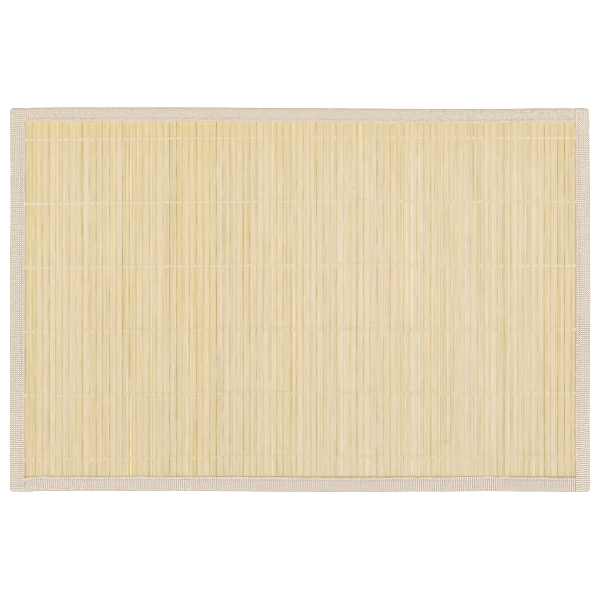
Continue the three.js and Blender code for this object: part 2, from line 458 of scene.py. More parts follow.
@dataclass(frozen=True)
class BambooFinish:
    """Split bamboo: straw to cream by slat, with fibres along it and ochre cut edges, partly their own colour
    and partly painted shade in the grooves.
    """

    straw: Colour = seen(227, 207, 152)
    cream: Colour = seen(234, 220, 199)
    blush: Colour = seen(236, 209, 173)
    sap: Colour = seen(222, 193, 130)
    ochre: Colour = seen(207, 172, 80)
    deeper_yellow: Colour = seen(229, 206, 146)
    # A painted shade colour for the slats beside the tapes.
    shade: Colour = seen(194, 158, 80)
    yellower_from: float = 100.0 * MM
    yellower_to: float = 137.0 * MM
    front_tape: float = -137.2 * MM
    side_tapes: tuple[float, float] = (-212.7 * MM, 213.6 * MM)
    grain_shift: tuple[float, float] = (0.31, 1.7)
    lasting: Grain = Grain(2.1, 900, 4)
    passing: Grain = Grain(2, 50, 4)
    broad: Grain = Grain(5, 60, 4)
    threads: Grain = Grain(0.46, 1500, 4)
    swells: Grain = Grain(2.4, 70, 4)
    veins: Grain = Grain(1.9, 130, 4)
    fibres: Grain = Grain(0.3, 14, 0.5, 2)
    flush: Grain = Grain(2.2, 120, 6)
    specks: Grain = Grain(1.3, 1.6, 4)

    def streaks(self, sketch: Sketch, own: bpy.types.NodeSocket) -> bpy.types.NodeSocket:
        """Draw the fine lines along a slat, which swell and fade and stop short of its edges.

        Args:
            sketch: The finish in the making.
            own: The slat's own place in the grain.

        Returns:
            The lines, below 0 where they are dark.
        """
        threads = sketch.grain(own, self.threads)
        swells = sketch.grain(own, self.swells)
        inside = sketch.between(sketch.mark_size("slat_across"), 1.0, 0.7)
        lines = sketch.math("MULTIPLY", threads, sketch.scaled_sum(1.0, (swells, 7.0)))
        return sketch.math("MULTIPLY", lines, inside)

    def split_wood(self, sketch: Sketch, own: bpy.types.NodeSocket, fibres: object) -> bpy.types.NodeSocket:
        """Colour the bare slats, from straw to cream with blushes and yellow veins.

        Args:
            sketch: The finish in the making.
            own: The slat's own place in the grain.
            fibres: The finest grain.

        Returns:
            The colour.
        """
        lasting, passing = sketch.grain(own, self.lasting), sketch.grain(own, self.passing)
        broad = sketch.grain(own, self.broad)
        tone = sketch.scaled_sum(
            sketch.mark("slat_tone"), (lasting, 1.0), (passing, 0.6), (broad, 0.15), (fibres, 0.4)
        )
        colour = sketch.blend(sketch.math("ADD", tone, 0.0, clamp=True), self.straw, self.cream)
        flush = sketch.between(sketch.grain(own, self.flush), 0.03, 0.3)
        colour = sketch.blend(flush, colour, self.blush)
        veins = sketch.between(sketch.grain(own, self.veins), -0.04, -0.36)
        return sketch.blend(veins, colour, self.sap)

    def knotted(self, sketch: Sketch, own: bpy.types.NodeSocket, colour: object) -> bpy.types.NodeSocket:
        """Pale a colour at the knots and fleck it with ochre.

        Args:
            sketch: The finish in the making.
            own: The slat's own place in the grain.
            colour: The colour of the wood round the knots.

        Returns:
            The colour with its knots.
        """
        knot = sketch.mark("slat_knot")
        flecks = sketch.math("MULTIPLY", knot, sketch.grain(own, self.specks))
        colour = sketch.tint(colour, self.cream, knot, 0.35)
        return sketch.tint(colour, self.ochre, sketch.between(flecks, 0.02, 0.14), 0.4)

    def by_tapes(self, sketch: Sketch, x: object, y: object, colour: object) -> bpy.types.NodeSocket:
        """Make a colour yellower near the front tape and paint shade on it close beside that tape and the
        side ones.

        Args:
            sketch: The finish in the making.
            x: The place across the mat.
            y: The place along the slats.
            colour: The colour away from the tapes.

        Returns:
            The colour beside the tapes.
        """
        # The slats are yellower just in front of the front tape.
        near_front = sketch.between(y, self.front_tape + 2.4 * MM, self.front_tape + 1.2 * MM)
        colour = sketch.tint(colour, self.deeper_yellow, near_front, 0.35)
        # Painted shade along the inner edges of the front tape and the side tapes.
        painted_tape_shade = sketch.between(y, self.front_tape + 0.6 * MM, self.front_tape)
        for strength, reach, tape in zip((0.25, 1.0), (0.8 * MM, -0.8 * MM), self.side_tapes):
            under = sketch.between(x, tape + reach, tape)
            painted_tape_shade = sketch.math("MAXIMUM", painted_tape_shade, sketch.math("MULTIPLY", under, strength))
        return sketch.tint(colour, self.shade, painted_tape_shade, 0.6)

    def make(self) -> bpy.types.Material:
        """Build the finish from the marks on the slats."""
        sketch = Sketch("bamboo_split")
        x, y, z = sketch.parts(sketch.object_place())
        apart = sketch.mark("slat_grain")
        own_x, own_y = (
            sketch.scaled_sum(along, (apart, shift)) for along, shift in zip((x, y), self.grain_shift)
        )
        own = sketch.vector(own_x, own_y, z)
        lines = self.streaks(sketch, own)
        fibres = sketch.grain(own, self.fibres)
        colour = self.knotted(sketch, own, self.split_wood(sketch, own, fibres))
        colour = sketch.tint(colour, self.ochre, lines, -0.6)
        # The slats grow yellower towards the back tape.
        colour = sketch.tint(colour, self.deeper_yellow, sketch.between(y, self.yellower_from, self.yellower_to), 0.4)
        # Ochre on the slat rims: partly the cut edges' own colour, partly painted shade in the grooves,
        # stronger where a groove is deeper.
        rim = sketch.between(sketch.mark_size("slat_across"), 0.89, 0.985)
        colour = sketch.blend(sketch.math("MULTIPLY", rim, sketch.mark("slat_rim_ochre_shade")), colour, self.ochre)
        colour = self.by_tapes(sketch, x, y, colour)
        # Painted shade: the slats a little darker towards the front.
        front = sketch.between(y, 0.06, -0.15)
        # Painted highlight: a thin bright band on the slats just in front of the back tape.
        painted_glint_at_back = sketch.between(y, self.yellower_to - 1.6 * MM, self.yellower_to - 0.6 * MM)
        light = sketch.scaled_sum(0.0, (lines, 0.42), (fibres, 0.4), (front, -0.05), (painted_glint_at_back, 0.05))
        sketch.relief(sketch.scaled_sum(0.5, (fibres, 0.8), (lines, 0.5)), 0.06 * MM)
        roughness = sketch.scaled_sum(0.5, (fibres, 0.3), (sketch.grain(own, self.broad), 0.15))
        return sketch.finish(sketch.brighten(colour, light), roughness, 0.35)


@dataclass(frozen=True)
class YarnFinish:
    """Bleached cotton yarn, twisted, which fades to the bamboo's tone along some rows."""

    white: Colour = seen(241, 225, 200)
    faded: Colour = seen(232, 214, 174)
    dip_shade: Colour = seen(208, 182, 122)
    twist: float = 1.1 * MM
    fuzz: Grain = Grain(0.25, 0.12, 0.12, 3)

    def make(self) -> bpy.types.Material:
        """Build the finish from the marks on the yarn."""
        sketch = Sketch("yarn_cotton")
        place = sketch.object_place()
        x, y, z = sketch.parts(place)
        plies = sketch.wave(sketch.scaled_sum(x, (y, 1.3), (z, 0.6)), self.twist)
        fuzz = sketch.grain(place, self.fuzz)
        colour = sketch.blend(sketch.mark("yarn_fade"), self.white, self.faded)
        # Painted shade where the yarn dips into the grooves between slats.
        colour = sketch.blend(sketch.mark("yarn_dip_shade"), colour, self.dip_shade)
        colour = sketch.brighten(colour, sketch.scaled_sum(0.0, (plies, 0.03), (fuzz, 0.12)))
        sketch.relief(sketch.scaled_sum(0.5, (plies, 0.3), (fuzz, 0.5)), 0.12 * MM)
        return sketch.finish(colour, 0.9, 0.2, 0.1)


@dataclass(frozen=True)
class TapeFinish:
    """Plain-woven cotton tape: light crowns where a thread lies on top, darker pits between, partly the
    weave's own colour and partly painted light and shade on its ribs.
    """

    crown: Colour = seen(286, 274, 260)
    pit: Colour = seen(114, 96, 72)
    needle_hole_shade: Colour = seen(160, 142, 124)
    aged: Colour = (1.0, 0.966, 0.876, 1.0)
    thread: float = 0.735 * MM
    drift: Grain = Grain(22, 9, 1)
    slubs: Grain = Grain(0.8, 6, 1, 2)
    lint: Grain = Grain(2.6, 1.4, 1, 2)
    fluff: Grain = Grain(0.18, 0.18, 1, 3)
    skew: Grain = Grain(34, 14, 1)
    ripple: Grain = Grain(5, 7, 1)
    plainness: Grain = Grain(17, 5, 1)

    def pattern(self, sketch: Sketch, place: object, along: object, across: object) -> bpy.types.NodeSocket:
        """Draw the weave: a check of crowns and pits, ribs across the tape and faint warps along it.

        Args:
            sketch: The finish in the making.
            place: The place on the cloth.
            along: The distance along the tape, as uneven as the weave.
            across: The distance across the tape, as uneven as the weave.

        Returns:
            The weave, above 0 on its crowns.
        """
        ribs = sketch.wave(along, 2 * self.thread)
        warps = sketch.wave(across, 2 * self.thread)
        check = sketch.math("MULTIPLY", ribs, warps)
        mixed = sketch.between(sketch.grain(place, self.plainness), -0.12, 0.12)
        _, y, _ = sketch.parts(sketch.object_place())
        front = sketch.between(y, -0.03, -0.13)
        forward = sketch.between(y, 0.1, -0.13)
        checked = sketch.math("MULTIPLY", check, sketch.scaled_sum(0.4, (mixed, 0.2), (front, -0.1)))
        ribbed = sketch.math("MULTIPLY", ribs, sketch.scaled_sum(0.22, (mixed, -0.1), (forward, 0.12)))
        warped = sketch.math("MULTIPLY", warps, sketch.scaled_sum(0.14, (front, -0.04)))
        return sketch.math("ADD", sketch.math("ADD", checked, ribbed), warped)

    def make(self) -> bpy.types.Material:
        """Build the finish along the tape's own length and width."""
        sketch = Sketch("tape_woven")
        place = sketch.cloth_place()
        along, across, _ = sketch.parts(place)
        drift, skew, ripple = (sketch.grain(place, size) for size in (self.drift, self.skew, self.ripple))
        slubs, lint, fluff = (sketch.grain(place, size) for size in (self.slubs, self.lint, self.fluff))
        along = sketch.scaled_sum(along, (drift, 1.6 * MM), (ripple, 0.9 * MM))
        across = sketch.scaled_sum(across, (skew, 2.4 * MM))
        fine = sketch.math("MULTIPLY", sketch.wave(along, self.thread), sketch.wave(across, self.thread))
        # The weave's contrast is partly its own pattern and partly painted light and shade on the ribs,
        # scaled per tape.
        weave_shade_gain = sketch.mark("painted_weave_shading")
        weave = sketch.math("MULTIPLY", self.pattern(sketch, place, along, across), weave_shade_gain)
        bare = sketch.math("MULTIPLY", lint, sketch.scaled_sum(0.5, (weave_shade_gain, -0.2)))
        # The level holds each tape's tone with its painted lip highlight and fold shade.
        level = sketch.scaled_sum(
            sketch.mark("tape_tone_and_painted_light"), (weave, 1.0), (bare, 1.0), (slubs, 0.12), (fluff, 0.15), (fine, 0.03)
        )
        colour = sketch.blend(sketch.math("ADD", level, 0.0, clamp=True), self.pit, self.crown)
        colour = sketch.blend(sketch.mark("tape_age"), colour, self.aged, "MULTIPLY")
        # Painted shade in the needle holes, which are also dented into the cloth.
        colour = sketch.blend(sketch.mark("painted_hole_shade"), colour, self.needle_hole_shade)
        sketch.relief(sketch.scaled_sum(0.5, (weave, 0.5), (fluff, 0.5), (fine, 0.1)), 0.12 * MM)
        return sketch.finish(colour, 0.92, 0.15, 0.12)


@dataclass(frozen=True)
class StitchFinish:
    """Sewing thread, a little darker than the tape it holds."""

    lit: Colour = seen(230, 217, 202)
    dim: Colour = seen(208, 193, 176)
    fuzz: Grain = Grain(0.3, 0.3, 0.3, 2)

    def make(self) -> bpy.types.Material:
        """Build the finish with the thread's fine twist."""
        sketch = Sketch("thread_sewing")
        place = sketch.object_place()
        x, y, z = sketch.parts(place)
        twist = sketch.wave(sketch.scaled_sum(x, (y, 1.0), (z, 0.7)), 0.45 * MM)
        fuzz = sketch.grain(place, self.fuzz)
        colour = sketch.blend(sketch.scaled_sum(0.4, (twist, 0.25), (fuzz, 0.8)), self.lit, self.dim)
        sketch.relief(sketch.scaled_sum(0.5, (twist, 0.5)), 0.05 * MM)
        return sketch.finish(colour, 0.8, 0.25)


@dataclass(frozen=True)
class FloorFinish:
    """Plain white paper on a light table, which leaves the mat no shadow."""

    paper: Colour = (0.93, 0.93, 0.93, 1.0)
    glow: float = 0.7
    mottle: Grain = Grain(200, 200, 200)

    def make(self) -> bpy.types.Material:
        """Build a matt white with the faintest mottle."""
        sketch = Sketch("floor_paper")
        place = sketch.object_place()
        mottle = sketch.grain(place, self.mottle)
        sketch.shader.inputs["Emission Color"].default_value = self.paper
        sketch.shader.inputs["Emission Strength"].default_value = self.glow
        return sketch.finish(sketch.brighten(self.paper, sketch.math("MULTIPLY", mottle, 0.01)), 0.9, 0.1)


# The mat


@dataclass(frozen=True)
class MatPlan:
    """What the pieces share: where the slats lie, and the straight lines that the edges stray from."""

    middle_x: float
    middle_y: float
    slat_base: float
    slat_top: float
    half_length: float = 225 * MM
    half_depth: float = 149 * MM

    @classmethod
    def from_frame(cls) -> "MatPlan":
        """Read the slats' place from the CAD model."""
        low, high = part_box("slat_panel")
        return cls((low.x + high.x) / 2, (low.y + high.y) / 2, low.z, high.z)


class Fit(Enum):
    """How closely two slats lie, as the gap between them and the drop of their edges, in metres."""

    TIGHT = (0.0 * MM, 0.005 * MM)
    CLOSE = (0.011 * MM, 0.031 * MM)
    LOOSE = (0.033 * MM, 0.092 * MM)
    OPEN = (0.032 * MM, 0.112 * MM)


@dataclass
class SlatField:
    """The split slats, side by side across the mat, counted from the left."""

    plan: MatPlan
    count: int = 85
    pitch: float = 5.19 * MM
    length: float = 293 * MM
    rounding: float = 0.16 * MM
    shoulder: float = 0.14
    knot_rise: float = 0.05 * MM
    knot_reach: float = 5 * MM
    knot_core: float = 1 * MM
    lengthwise_cuts: int = 63
    open_after: tuple[int, ...] = (24, 27, 31, 35, 79, 81, 82)
    loose_after: tuple[int, ...] = (5, 10, 12, 14, 16, 17, 23, 30, 32, 34, 40, 45, 51, 54, 83)
    tight_after: tuple[int, ...] = (2, 28, 37, 44, 47, 49, 59, 63, 65, 66, 67, 68, 71, 75)
    pale: tuple[int, ...] = (11, 16, 26, 29, 48, 49, 50, 52, 54, 60, 66, 68, 69, 72, 75, 77, 78)
    deep: tuple[int, ...] = (3, 4, 15, 18, 25, 27, 28, 30, 42, 51, 56, 62, 64, 76, 80, 82, 84, 85)
    knots: tuple[tuple[int, float], ...] = (
        (4, -66.7),
        (4, -79.1),
        (5, 24.8),
        (5, -74.5),
        (14, -11.6),
        (17, 115.5),
        (17, 56.6),
        (17, -80.6),
        (20, 91.5),
        (23, -48.9),
        (27, -49.6),
        (29, -52.0),
        (30, -46.5),
        (46, 0.8),
        (50, 86.8),
        (50, -77.6),
        (53, -20.2),
        (54, -82.2),
        (58, -92.3),
        (61, 44.2),
        (64, -110.9),
        (66, -72.1),
    )
    seed: int = 11
    nudges: list[float] = field(default_factory=list)
    lifts: list[float] = field(default_factory=list)
    tilts: list[float] = field(default_factory=list)
    tones: list[float] = field(default_factory=list)

    def draw_lots(self) -> None:
        """Settle each slat's own place, tilt and tone."""
        lots = random.Random(self.seed)
        for number in range(self.count + 1):
            self.nudges.append(lots.gauss(0, 0.1) * MM)
            self.lifts.append(lots.uniform(-0.06, 0.03) * MM)
            self.tilts.append(lots.uniform(-0.06, 0.06) * MM)
            share = number / self.count
            trend = 0.42 + 0.12 * ease(share, 0.0, 0.75) - 0.06 * ease(share, 0.88, 1.0)
            step = 0.12 * (number + 1 in self.pale) - 0.12 * (number + 1 in self.deep)
            self.tones.append(trend + step + lots.gauss(0, 0.04))

    def fit_after(self, number: int) -> Fit:
        """Say how closely a slat lies to the next one."""
        if number in self.open_after:
            return Fit.OPEN
        if number in self.loose_after:
            return Fit.LOOSE
        return Fit.TIGHT if number in self.tight_after else Fit.CLOSE

    def groove(self, number: int, y: float) -> tuple[float, float, float]:
        """Find the groove after a slat at a place along it.

        Args:
            number: How many slats lie to its left.
            y: The place along the slats.

        Returns:
            The groove's place across the mat, its width, and the drop of the edges beside it.
        """
        gap, drop = self.fit_after(number).value
        swell = max(0.0, 1 + 3.3 * wander(number * 3.71, y / (12 * MM), 4.2))
        middle = self.plan.middle_x + (number - self.count / 2) * self.pitch
        sway = 0.12 * MM * wander(number * 1.93, y / (90 * MM), 8.8)
        return middle + self.nudges[number] + sway, gap * swell, drop * swell

    def knot(self, slat: int, y: float) -> float:
        """Say how near a place along a slat is to one of its knots, from 0 to 1."""
        away = (abs(y - at * MM) for number, at in self.knots if number == slat)
        return max((ease(distance, self.knot_reach, self.knot_core) for distance in away), default=0.0)

    def blank(self) -> bpy.types.Object:
        """Model the first slat: a bar with rounded long edges, marked off into short lengths."""
        plan = self.plan
        middle = (
            plan.middle_x + (0.5 - self.count / 2) * self.pitch,
            plan.middle_y,
            (plan.slat_base + plan.slat_top) / 2,
        )
        size = (self.pitch, self.length, plan.slat_top - plan.slat_base)
        set_down()
        bpy.ops.mesh.primitive_cube_add(size=1, location=middle, scale=size)
        slat = just_added("slat_field")
        for above, segments in ((True, 3), (False, 1)):
            with chosen_edges(slat, lambda at, way: abs(way.y) > 0.9 and (at.z > middle[2]) == above):
                bpy.ops.mesh.bevel(offset=self.rounding, segments=segments, affect="EDGES")
        with chosen_edges(slat, lambda at, way: abs(way.y) > 0.9):
            bpy.ops.mesh.subdivide(number_cuts=self.lengthwise_cuts)
        return slat

    def build(self, finish: bpy.types.Material) -> bpy.types.Object:
        """Lay all the slats, fit each to its grooves, and mark their tones and edges."""
        self.draw_lots()
        field_piece = self.blank()
        per_slat = repeat_along_x(field_piece, self.count, self.pitch)
        left = self.plan.middle_x - self.count / 2 * self.pitch
        middle_z = (self.plan.slat_base + self.plan.slat_top) / 2
        across: list[float] = []
        rim_ochre_shades: list[float] = []
        knotted: list[float] = []

        def fit(index: int, place: Vector) -> Vector:
            slat = index // per_slat
            share = (place.x - left) / self.pitch - slat
            near, near_gap, near_drop = self.groove(slat, place.y)
            far, far_gap, far_drop = self.groove(slat + 1, place.y)
            if place.z < middle_z:
                near_gap = far_gap = 0.01 * MM
            start, end = near + near_gap / 2, far - far_gap / 2
            side = abs(2 * share - 1)
            rim = max(0.0, (side - 1 + self.shoulder) / self.shoulder)
            drop = (near_drop if share < 0.5 else far_drop) * rim * rim
            height = place.z + self.lifts[slat] + self.tilts[slat] * (share - 0.5)
            height += 0.04 * MM * wander(slat * 2.3, place.y / (60 * MM), 1.1)
            knot = self.knot(slat, place.y)
            knotted.append(knot)
            if place.z > middle_z:
                height += self.knot_rise * knot - drop
            patchy = 1 + 2.4 * wander(slat + (share > 0.5), place.y / (8 * MM), 6.6)
            # The rim ochre grows with the groove's drop: painted groove shade over the cut edges' own ochre.
            rim_ochre_shading = patchy * (0.25 + 7.5 * (near_drop if share < 0.5 else far_drop) / MM)
            across.append(2 * share - 1)
            rim_ochre_shades.append(max(0.0, min(1.0, rim_ochre_shading)) if place.z > middle_z else 1.0)
            return Vector((start + share * (end - start), place.y, height))

        move_points(field_piece, fit)
        slats = [index // per_slat for index in range(len(field_piece.data.vertices))]
        mark_points(field_piece, "slat_tone", [self.tones[slat] for slat in slats])
        mark_points(field_piece, "slat_grain", [slat * 0.618 % 1 for slat in slats])
        mark_points(field_piece, "slat_across", across)
        mark_points(field_piece, "slat_knot", knotted)
        mark_points(field_piece, "slat_rim_ochre_shade", rim_ochre_shades)
        dress(field_piece, finish, 14)
        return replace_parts(field_piece, "slat_panel")


@dataclass
class YarnRow:
    """One row of yarn: a hop over every slat and another under it, each sunk in the grooves at its ends."""

    plan: MatPlan
    node: str
    fade: tuple[float, float, float]
    pitch: float = 5.19 * MM
    hops: int = 83
    width: float = 2.5 * MM
    thickness: float = 0.18 * MM
    sink: float = 0.4 * MM
    sides: int = 8
    bow_middle: float = 0.075 * MM
    bow: tuple[tuple[float, float], ...] = (
        (-226, -0.9),
        (-193, -0.66),
        (-158, -0.39),
        (-124, 0.12),
        (-89, 0.47),
        (-54, 0.7),
        (-19, 0.93),
        (50, 1.05),
        (120, 0.81),
        (226, 0.8),
    )

    def bowed(self, x: float) -> float:
        """Say how far the row bows towards the back at a place across the mat, in metres."""
        return read_off(self.bow, x / MM) * MM

    def hop(self, name: str, above: bool, row_y: float) -> bpy.types.Object:
        """Model the hops on one face of the mat.

        Args:
            name: The piece's name.
            above: Whether the yarn lies on the slats or under them.
            row_y: The row's place.

        Returns:
            The row of hops.
        """
        first_x = self.plan.middle_x - (self.hops - 1) / 2 * self.pitch
        set_down()
        bpy.ops.mesh.primitive_cylinder_add(
            vertices=self.sides,
            radius=self.width / 2,
            depth=self.pitch * 1.04,
            location=(first_x, row_y, 0),
            rotation=(0, math.pi / 2, 0),
        )
        piece = just_added(name)
        with chosen_edges(piece, lambda at, way: abs(way.x) > 0.9):
            bpy.ops.mesh.subdivide(number_cuts=7)
        per_hop = repeat_along_x(piece, self.hops, self.pitch)
        up = 1 if above else -1
        rest = (self.plan.slat_top if above else self.plan.slat_base) + up * 0.2 * self.thickness

        def shape(index: int, place: Vector) -> Vector:
            number = index // per_hop
            along = (place.x - first_x - number * self.pitch) / (self.pitch / 2)
            plump = 1 + 0.16 * wander(number * 1.7, row_y * 90, above * 5.0)
            slim = plump * (1 - 0.3 * abs(along) ** 6)
            slant = (0.16 * along + 0.12 * wander(number * 0.9, row_y * 70, 3.0)) * MM
            dip = self.sink * (0.3 + 0.7 * self.fade[1]) * abs(along) ** 8
            across = (place.y - row_y) * slim + slant
            height = rest + place.z * slim * self.thickness / self.width - up * dip
            return Vector((place.x, row_y + self.bowed(place.x) + across, height))

        move_points(piece, shape)
        return piece

    def build(self, finish: bpy.types.Material) -> bpy.types.Object:
        """Make the row on both faces and mark how far it has faded."""
        low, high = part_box(self.node)
        row_y = (low.y + high.y) / 2 - self.bow_middle
        name = self.node.replace("thread", "yarn")
        row = join_all([self.hop(name, True, row_y), self.hop(f"{name}_under", False, row_y)])
        left, middle, right = self.fade
        faded: list[float] = []
        dip_shade: list[float] = []
        for vertex in row.data.vertices:
            from_middle = vertex.co.x - self.plan.middle_x
            side = from_middle / self.plan.half_length
            outer = left if side < 0 else right
            hops = from_middle / self.pitch + 0.5
            own = 0.25 * wander(math.floor(hops) * 1.9, row_y * 50, 2.0)
            fade = max(0.0, min(1.0, middle + (outer - middle) * ease(abs(side), 0.4, 1.0) + own))
            flank = (vertex.co.y - row_y - self.bowed(vertex.co.x)) / (self.width / 2)
            faded.append(fade + (1 - fade) * min(1.0, 0.55 * flank * flank))
            # Painted shade at the hop ends, where the yarn dips into the grooves.
            dip_shade.append(0.8 * fade * abs(2 * (hops % 1) - 1) ** 12)
        mark_points(row, "yarn_fade", faded)
        mark_points(row, "yarn_dip_shade", dip_shade)
        dress(row, finish, 60)
        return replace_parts(row, self.node)


class MatEdge(Enum):
    """The edges of the mat, each with the quarter turns that carry the front edge onto it."""

    FRONT = 0
    RIGHT = 1
    BACK = 2
    LEFT = 3

    @property
    def is_side(self) -> bool:
        """Whether the edge is one of the two short ones."""
        return self in (MatEdge.LEFT, MatEdge.RIGHT)

    def turned(self, x: float, y: float) -> tuple[float, float]:
        """Turn a place at the front edge to this edge."""
        for _ in range(self.value):
            x, y = -y, x
        return x, y


class Stray(NamedTuple):
    """How far an edge strays outwards at a distance along it from its middle, both in millimetres."""

    at: float
    out: float


class Fold(NamedTuple):
    """A point of the folded tape's end view: its distance in from the fold and its height, in millimetres."""

    inwards: float
    height: float


@dataclass
class BindingTape:
    """A woven tape folded over one edge of the mat, from its top edge round the fold to its bottom edge."""

    plan: MatPlan
    edge: MatEdge
    width: float
    stray: tuple[Stray, ...]
    cloth: float = 0.5 * MM
    rib: float = 1.47 * MM
    rib_depth: float = 0.14 * MM
    # How strongly the weave is painted at the tape's two ends: its own pattern with painted light and shade
    # on the ribs.
    weave_shadings: tuple[float, float] = (1.0, 1.0)
    tone: float = 0.5
    # Painted highlight on the tape's inner lip.
    lip_highlight: float = 0.09
    # Painted shade on the fold's roll.
    painted_fold_shade: float = 0.0
    age: float = 0.1
    hole_show: float = 0.35
    stitch_pitch: float = 2.94 * MM
    lap_inset: float = 5.2 * MM
    long_width: float = 11.7 * MM
    side_width: float = 11.4 * MM
    ends: tuple[float, float] = (0.0, 0.0)
    corner: float = 2.5 * MM
    closing: float = 1.5 * MM
    lap_ramp: float = 4.0 * MM
    section: tuple[Fold, ...] = (
        Fold(11.50, 3.45),
        Fold(11.15, 3.52),
        Fold(10.30, 3.56),
        Fold(9.60, 3.56),
        Fold(9.15, 3.55),
        Fold(8.95, 3.55),
        Fold(8.70, 3.56),
        Fold(7.90, 3.60),
        Fold(6.60, 3.70),
        Fold(5.00, 3.84),
        Fold(3.40, 3.98),
        Fold(2.20, 4.06),
        Fold(1.30, 4.05),
        Fold(0.65, 3.85),
        Fold(0.22, 3.45),
        Fold(0.03, 2.90),
        Fold(0.00, 2.20),
        Fold(0.05, 1.40),
        Fold(0.30, 0.70),
        Fold(0.90, 0.18),
        Fold(1.80, 0.00),
        Fold(4.50, 0.00),
        Fold(7.00, 0.00),
        Fold(8.70, 0.02),
        Fold(8.95, 0.12),
        Fold(9.20, 0.02),
        Fold(10.30, 0.00),
        Fold(11.50, 0.00),
    )
    stitch_rows: tuple[int, int] = (5, 24)
    fold_row: int = 16
    reference_width: float = 11.5 * MM
    straight_from: float = 3.0 * MM

    @property
    def run(self) -> tuple[float, float]:
        """Give the places of the tape's two ends along its edge."""
        half = self.plan.half_depth if self.edge.is_side else self.plan.half_length - self.lap_inset
        return -half - self.ends[0] * MM, half + self.ends[1] * MM

    @property
    def length(self) -> float:
        """Give the tape's length."""
        start, end = self.run
        return end - start

    @property
    def name(self) -> str:
        """The tape's edge, as its CAD node has it."""
        return self.edge.name.lower()

    @property
    def fold_height(self) -> float:
        """Give the height of the fold's outermost line."""
        return self.section[self.fold_row].height * MM

    def strayed(self, at: float) -> float:
        """Say how far the fold strays outwards at a distance along the edge, in metres."""
        return (read_off(self.stray, at / MM) + 0.07 * wander(at / (9 * MM), self.edge.value * 7.7)) * MM

    def normal(self, row: int) -> tuple[float, float]:
        """Give the direction out of the cloth at a row of the section, inwards and upwards."""
        before, after = self.section[max(0, row - 1)], self.section[min(len(self.section) - 1, row + 1)]
        run, rise = after.inwards - before.inwards, after.height - before.height
        length = math.hypot(run, rise)
        return rise / length, -run / length

    def crown(self, inwards: float) -> float:
        """Give the height of a tape's upper face at a distance in from its fold, in metres."""
        rows = tuple((fold.inwards, fold.height) for fold in reversed(self.section[: self.fold_row]))
        return read_off(rows, inwards / MM) * MM

    def lapped(self, inwards: float, from_end: float, height: float) -> float:
        """Lift a side tape's upper face over the long tape that it laps.

        Args:
            inwards: The distance in from the side tape's fold.
            from_end: The distance from the side tape's end.
            height: The face's height where it lies on the slats.

        Returns:
            The height that it has here.
        """
        beneath = self.crown(max(1.6 * MM, from_end)) + self.cloth
        ramp = ease(from_end, self.long_width + self.lap_ramp, self.long_width)
        reach = 0.35 + 0.65 * ease(inwards, 0.6 * MM, self.lap_inset + 1 * MM)
        return height + max(0.0, beneath - height) * ramp * reach * ease(inwards, 0.0, 1.2 * MM)

    def surface(self, at: float, row: int) -> tuple[float, float]:
        """Find a point on the outside of the tape, without its ribs.

        Args:
            at: The distance along the edge from its middle.
            row: The row of the section.

        Returns:
            How far in from the mat's straight edge the point lies, and its height.
        """
        inwards, height = (value * MM for value in self.section[row])
        uneven = 0.25 * MM * wander(at / (45 * MM), self.edge.value * 3.1, 2.0)
        if inwards > self.straight_from:
            span = (self.width + uneven - self.straight_from) / (self.reference_width - self.straight_from)
            inwards = self.straight_from + (inwards - self.straight_from) * span
        upper = row < self.fold_row
        near_fold = max(0.0, 1 - inwards / (8 * MM))
        start, end = self.run
        from_end = max(0.0, min(at - start, end - at))
        if upper:
            height += 0.07 * MM * wander(at / (16 * MM), inwards / (5 * MM), self.edge.value)
        if self.edge.is_side:
            if upper:
                height = self.lapped(inwards, from_end, height)
            if from_end < self.corner:
                inwards += near_fold * (self.corner - math.sqrt(from_end * (2 * self.corner - from_end)))
            if from_end < self.closing:
                share = max(0.34, math.sqrt(from_end * (2 * self.closing - from_end)) / self.closing)
                height = self.fold_height + (height - self.fold_height) * share
        else:
            side_edge = self.plan.half_length - self.side_width
            tuck = ease(abs(at), side_edge - 2.5 * MM, side_edge + 1.5 * MM)
            inwards += 0.9 * MM * tuck * near_fold
            if not upper:
                height += 0.54 * MM * tuck * max(0.0, 1 - height / self.fold_height)
        return inwards - self.strayed(at), height

    def on_mat(self, at: float, inwards: float, height: float) -> Vector:
        """Put a point of the tape where its edge is on the mat."""
        reach = self.plan.half_length if self.edge.is_side else self.plan.half_depth
        x, y = self.edge.turned(at, inwards - reach)
        return Vector((self.plan.middle_x + x, self.plan.middle_y + y, height))

    def build(self, finish: bpy.types.Material) -> bpy.types.Object:
        """Fold the tape from a flat strip, with its ribs, needle holes and thickness."""
        steps = round(self.length / (self.rib / 4))
        start = self.run[0]
        rows = len(self.section) - 1
        set_down()
        bpy.ops.mesh.primitive_grid_add(x_subdivisions=steps, y_subdivisions=rows, size=1)
        tape = just_added(f"binding_{self.name}")
        mesh = tape.data
        across = [0.0]
        for before, after in zip(self.section, self.section[1:]):
            across.append(across[-1] + math.dist(before, after) * MM)
        normals = [self.normal(row) for row in range(rows + 1)]
        cloth_place: list[tuple[float, float]] = []
        holes: list[float] = []
        weave_shadings: list[float] = []
        tones: list[float] = []
        ages: list[float] = []

        def fold(index: int, place: Vector) -> Vector:
            at = start + round((place.x + 0.5) * steps) / steps * self.length
            row = round((0.5 - place.y) * rows)
            inwards, height = self.surface(at, row)
            crest = math.cos(2 * math.pi * at / self.rib)
            uneven = 1 + 0.6 * wander(at / (7 * MM), row / 4.0, self.edge.value)
            sunk = self.rib_depth * (1 - crest) / 2 * uneven
            hole = 0.0
            if row in self.stitch_rows:
                hole = max(0.0, math.cos(2 * math.pi * at / self.stitch_pitch)) ** 2
            sunk += 0.1 * MM * hole * self.hole_show
            if row in (0, rows):
                inwards += 0.07 * MM * crest + 0.3 * MM * wander(at / (5 * MM), self.edge.value * 5.3)
            cloth_place.append((at - start, across[row]))
